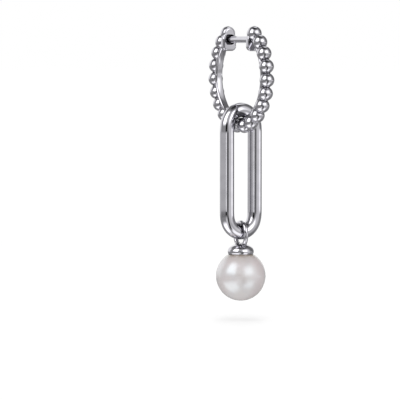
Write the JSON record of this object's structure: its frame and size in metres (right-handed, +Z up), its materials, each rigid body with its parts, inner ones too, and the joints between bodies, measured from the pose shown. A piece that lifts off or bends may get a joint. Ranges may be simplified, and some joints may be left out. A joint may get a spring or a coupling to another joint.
{
  "type": "pearl drop earring",
  "caption": "Hinged hoop earring edged with round beads, with a long oval link and a pearl hung from a domed cap",
  "frame": {"origin": "on the axis of the ear post, midway between the flat ends of the hoop, where the ear lobe sits", "axes": "+Z up, +Y along the ear post from the front half towards the back half, X across the hoop"},
  "size_m": [0.0074, 0.017, 0.0412],
  "materials": {
    "polished_silver": "polished, bright, with faint hairlines",
    "nacre": "soft pearl lustre, white with a faint rose and grey cast"
  },
  "bodies": {
    "front_half": {"front_half": "polished_silver", "hinge_pin": "polished_silver"},
    "back_half": {"back_half": "polished_silver"},
    "long_link": {"long_link": "polished_silver"},
    "pearl_drop": {"pearl_cap": "polished_silver", "pearl": "nacre"}
  },
  "joints": [
    {"name": "hoop_hinge", "type": "hinge", "parent": "front_half", "child": "back_half", "pos_m": [0, 0, -0.01308], "axis": [-1, 0, 0], "range_deg": [0, 35]},
    {"name": "link_swing", "type": "hinge", "parent": "front_half", "child": "long_link", "pos_m": [0, 0, -0.01293], "axis": [0, 1, 0], "range_deg": [-50, 50]},
    {"name": "pearl_swing", "type": "hinge", "parent": "long_link", "child": "pearl_drop", "pos_m": [0, 0, -0.02889], "axis": [1, 0, 0], "range_deg": [-110, 110]}
  ]
}
